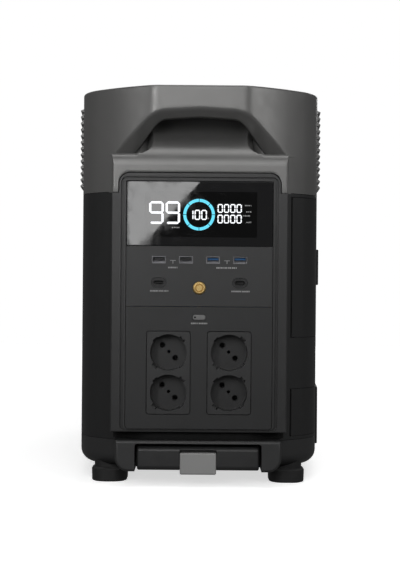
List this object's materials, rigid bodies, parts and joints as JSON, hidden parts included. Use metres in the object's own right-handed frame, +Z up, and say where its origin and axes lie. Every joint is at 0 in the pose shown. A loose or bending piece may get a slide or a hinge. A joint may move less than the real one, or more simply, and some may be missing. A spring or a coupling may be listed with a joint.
{
  "type": "portable power station",
  "caption": "Wheeled portable power station: grey hood with end grips over a dark case, framed console with display, USB ports and round mains sockets, pull-out trolley bar, rear wheels.",
  "frame": {"origin": "on the floor under the middle of the case", "axes": "+X to the right seen from the console, -Y out of the console, +Z up"},
  "size_m": [0.2878, 0.635, 0.417],
  "materials": {
    "hood_grey": "fine moulded texture",
    "shell_charcoal": "fine moulded texture",
    "frame_black": "satin moulded",
    "panel_charcoal": "satin moulded",
    "socket_black": "satin moulded",
    "screen_glass": "dark tinted glass",
    "display": "display module",
    "port_metal": "stamped shell",
    "black_plastic": "moulded",
    "blue_plastic": "moulded",
    "gold_metal": "anodised, turned face",
    "button_grey": "moulded",
    "contact_metal": "stamped",
    "spring_steel": "stamped",
    "rubber": "moulded rubber",
    "tyre": "solid tyre",
    "hub_grey": "moulded",
    "steel": "turned",
    "tube_alloy": "anodised tube",
    "cell_case": "wrapped cell can",
    "copper": "plated copper",
    "board_green": "solder mask",
    "alloy": "extruded",
    "ferrite": "wound core",
    "capacitor": "sleeved can",
    "fan_black": "moulded"
  },
  "bodies": {
    "root": {"hood_shell": "hood_grey", "side_grille_right": "hood_grey", "side_grille_left": "hood_grey", "lower_shell": "shell_charcoal", "base_tray": "shell_charcoal", "tray_screws": "steel", "wheel_arches": "shell_charcoal", "front_feet": "rubber", "side_bumpers": "rubber", "console_frame": "frame_black", "rear_frame": "frame_black", "front_panel": "panel_charcoal", "ac_panel": "panel_charcoal", "screen_glass": "screen_glass", "lcd_module": "display", "usb_a_shells": "port_metal", "usb_a_tongues": "black_plastic", "usb_a_fast_tongues": "blue_plastic", "usb_c_ports": "black_plastic", "socket_module_left": "socket_black", "socket_module_right": "socket_black", "earth_clips": "spring_steel", "socket_contacts": "contact_metal", "trolley_guides": "steel", "corner_bays": "panel_charcoal", "car_socket": "black_plastic", "dc_jacks": "black_plastic", "battery_port": "black_plastic", "rear_panel": "panel_charcoal", "rear_bay": "panel_charcoal", "ac_inlet": "black_plastic", "solar_port": "black_plastic", "axle": "steel", "axle_caps": "black_plastic", "battery_frame": "black_plastic", "battery_cells": "cell_case", "busbars": "copper", "circuit_boards": "board_green", "heatsink": "alloy", "transformer": "ferrite", "capacitors": "capacitor", "fan_frames": "fan_black"},
    "power_button": {"power_button": "gold_metal"},
    "ac_button": {"ac_button": "button_grey"},
    "dc_button": {"dc_button": "button_grey"},
    "trolley": {"trolley_grip": "frame_black", "trolley_tubes": "tube_alloy"},
    "trolley_release": {"trolley_release_tab": "button_grey"},
    "side_cover_upper": {"side_cover_upper": "rubber"},
    "side_cover_lower": {"side_cover_lower": "rubber"},
    "rear_cover": {"rear_cover": "rubber"},
    "wheel_left": {"wheel_hub_left": "hub_grey", "tyre_left": "tyre"},
    "wheel_right": {"wheel_hub_right": "hub_grey", "tyre_right": "tyre"},
    "fan_left": {"fan_rotor_left": "fan_black"},
    "fan_right": {"fan_rotor_right": "fan_black"},
    "charge_switch": {"charge_speed_switch": "button_grey"},
    "breaker_left": {"breaker_button_left": "black_plastic"},
    "breaker_right": {"breaker_button_right": "black_plastic"}
  },
  "joints": [
    {"name": "power_button_press", "type": "slide", "parent": "root", "child": "power_button", "axis": [0, 1, 0], "range_m": [0, 0.0012], "stiffness_N_per_m": 300, "springref_m": -0.0015},
    {"name": "ac_button_press", "type": "slide", "parent": "root", "child": "ac_button", "axis": [0, 1, 0], "range_m": [0, 0.0012], "stiffness_N_per_m": 300, "springref_m": -0.0015},
    {"name": "dc_button_press", "type": "slide", "parent": "root", "child": "dc_button", "axis": [-1, 0, 0], "range_m": [0, 0.0012], "stiffness_N_per_m": 300, "springref_m": -0.0015},
    {"name": "trolley_slide", "type": "slide", "parent": "root", "child": "trolley", "axis": [0, -1, 0], "range_m": [0, 0.36]},
    {"name": "trolley_release_press", "type": "slide", "parent": "trolley", "child": "trolley_release", "axis": [0, 0, 1], "range_m": [0, 0.0022], "stiffness_N_per_m": 400, "springref_m": -0.001},
    {"name": "side_cover_upper_hinge", "type": "hinge", "parent": "root", "child": "side_cover_upper", "pos_m": [0.0989, -0.27688, 0.2285], "axis": [0, 0, -1], "range_deg": [0, 110]},
    {"name": "side_cover_lower_hinge", "type": "hinge", "parent": "root", "child": "side_cover_lower", "pos_m": [0.0989, -0.27688, 0.074], "axis": [0, 0, -1], "range_deg": [0, 110]},
    {"name": "rear_cover_hinge", "type": "hinge", "parent": "root", "child": "rear_cover", "pos_m": [0, 0.3151, 0.2982], "axis": [1, 0, 0], "range_deg": [0, 100]},
    {"name": "wheel_left_spin", "type": "hinge", "parent": "root", "child": "wheel_left", "pos_m": [-0.1128, 0.225, 0.042], "axis": [1, 0, 0], "continuous": true},
    {"name": "wheel_right_spin", "type": "hinge", "parent": "root", "child": "wheel_right", "pos_m": [0.1128, 0.225, 0.042], "axis": [1, 0, 0], "continuous": true},
    {"name": "fan_left_spin", "type": "hinge", "parent": "root", "child": "fan_left", "pos_m": [-0.118, 0, 0.365], "axis": [1, 0, 0], "continuous": true},
    {"name": "fan_right_spin", "type": "hinge", "parent": "root", "child": "fan_right", "pos_m": [0.118, 0, 0.365], "axis": [1, 0, 0], "continuous": true},
    {"name": "charge_speed_slide", "type": "slide", "parent": "root", "child": "charge_switch", "axis": [1, 0, 0], "range_m": [0, 0.011]},
    {"name": "breaker_left_press", "type": "slide", "parent": "root", "child": "breaker_left", "axis": [0, -1, 0], "range_m": [0, 0.0015], "stiffness_N_per_m": 300, "springref_m": -0.0015},
    {"name": "breaker_right_press", "type": "slide", "parent": "root", "child": "breaker_right", "axis": [0, -1, 0], "range_m": [0, 0.0015], "stiffness_N_per_m": 300, "springref_m": -0.0015}
  ]
}
